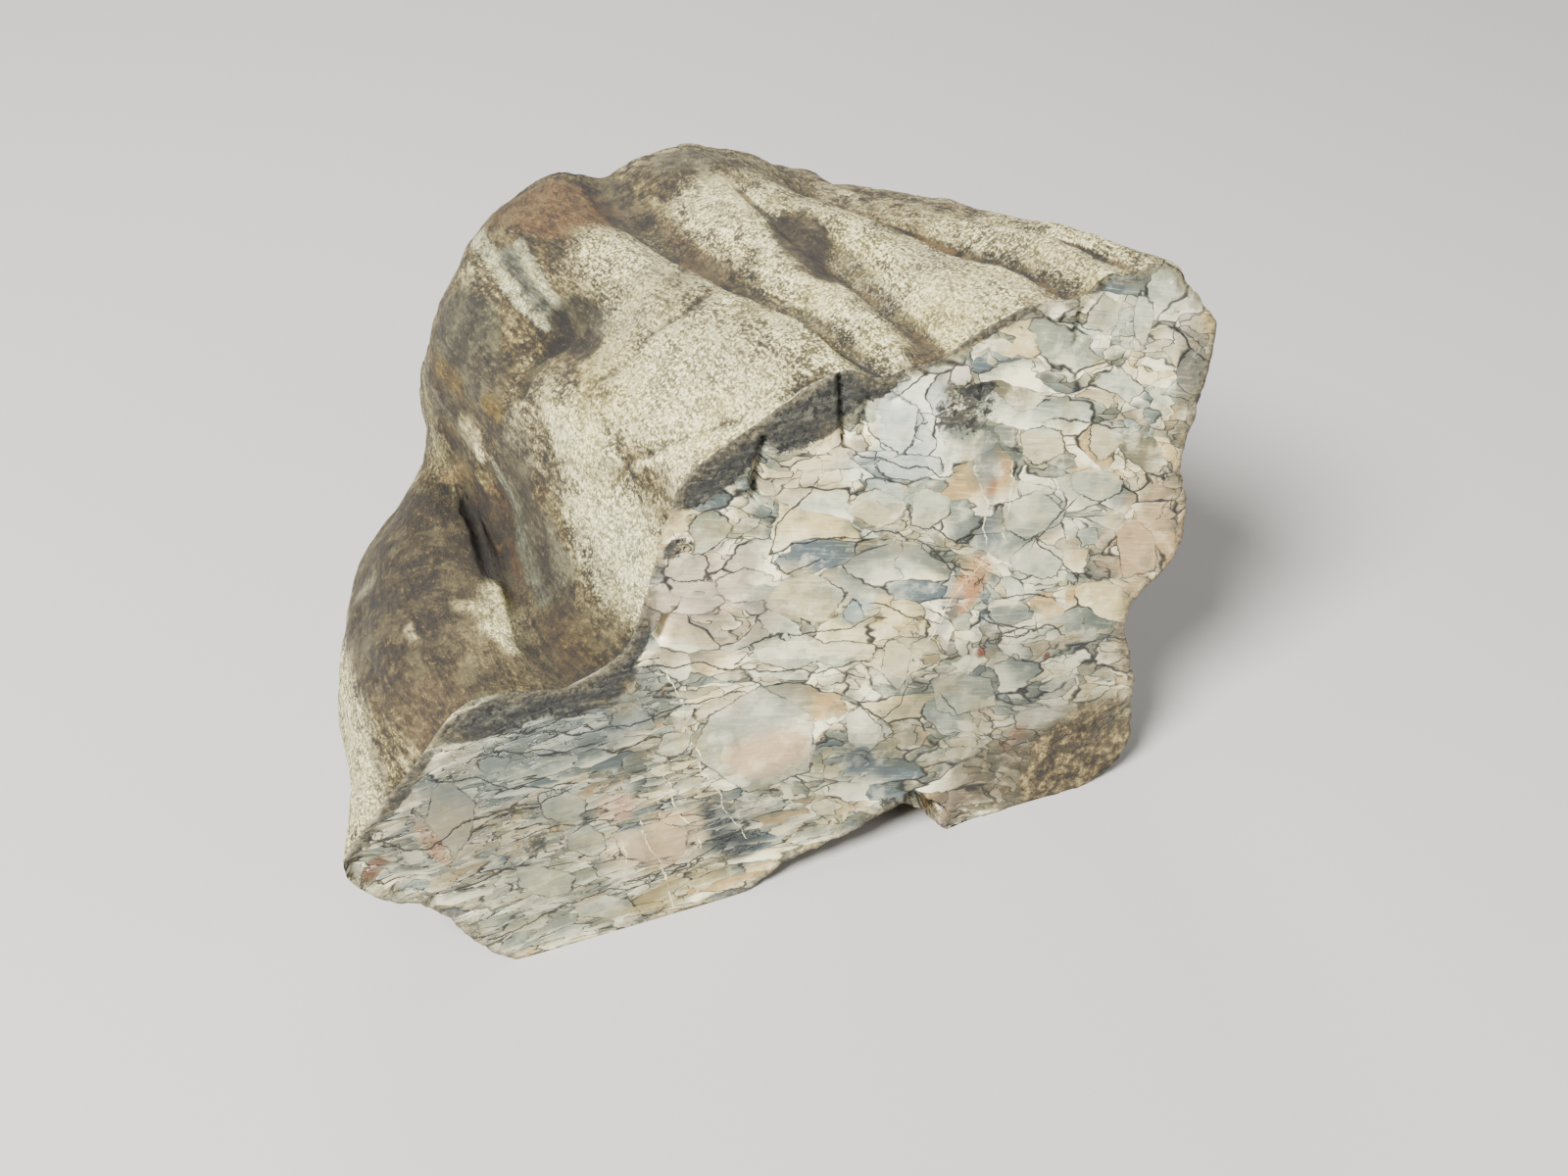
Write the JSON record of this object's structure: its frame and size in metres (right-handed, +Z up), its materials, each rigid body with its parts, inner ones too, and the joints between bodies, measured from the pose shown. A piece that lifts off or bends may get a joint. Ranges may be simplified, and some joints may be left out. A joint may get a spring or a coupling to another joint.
{
  "type": "petrified wood chunk",
  "caption": "Chunk of petrified wood with a fluted weathered rind and a flat polished cut across the grain, standing on its broken underside.",
  "frame": {"origin": "on the resting plane, under the middle of the chunk's bounding box", "axes": "+X along the polished cut towards its tall end, +Y away from the cut along the wood grain, +Z up"},
  "size_m": [0.118, 0.0904, 0.0804],
  "materials": {
    "petrified_stone": "polished chalcedony on the cut, matt weathered rind elsewhere"
  },
  "bodies": {
    "root": {"petrified_wood_chunk": "petrified_stone"}
  },
  "joints": []
}
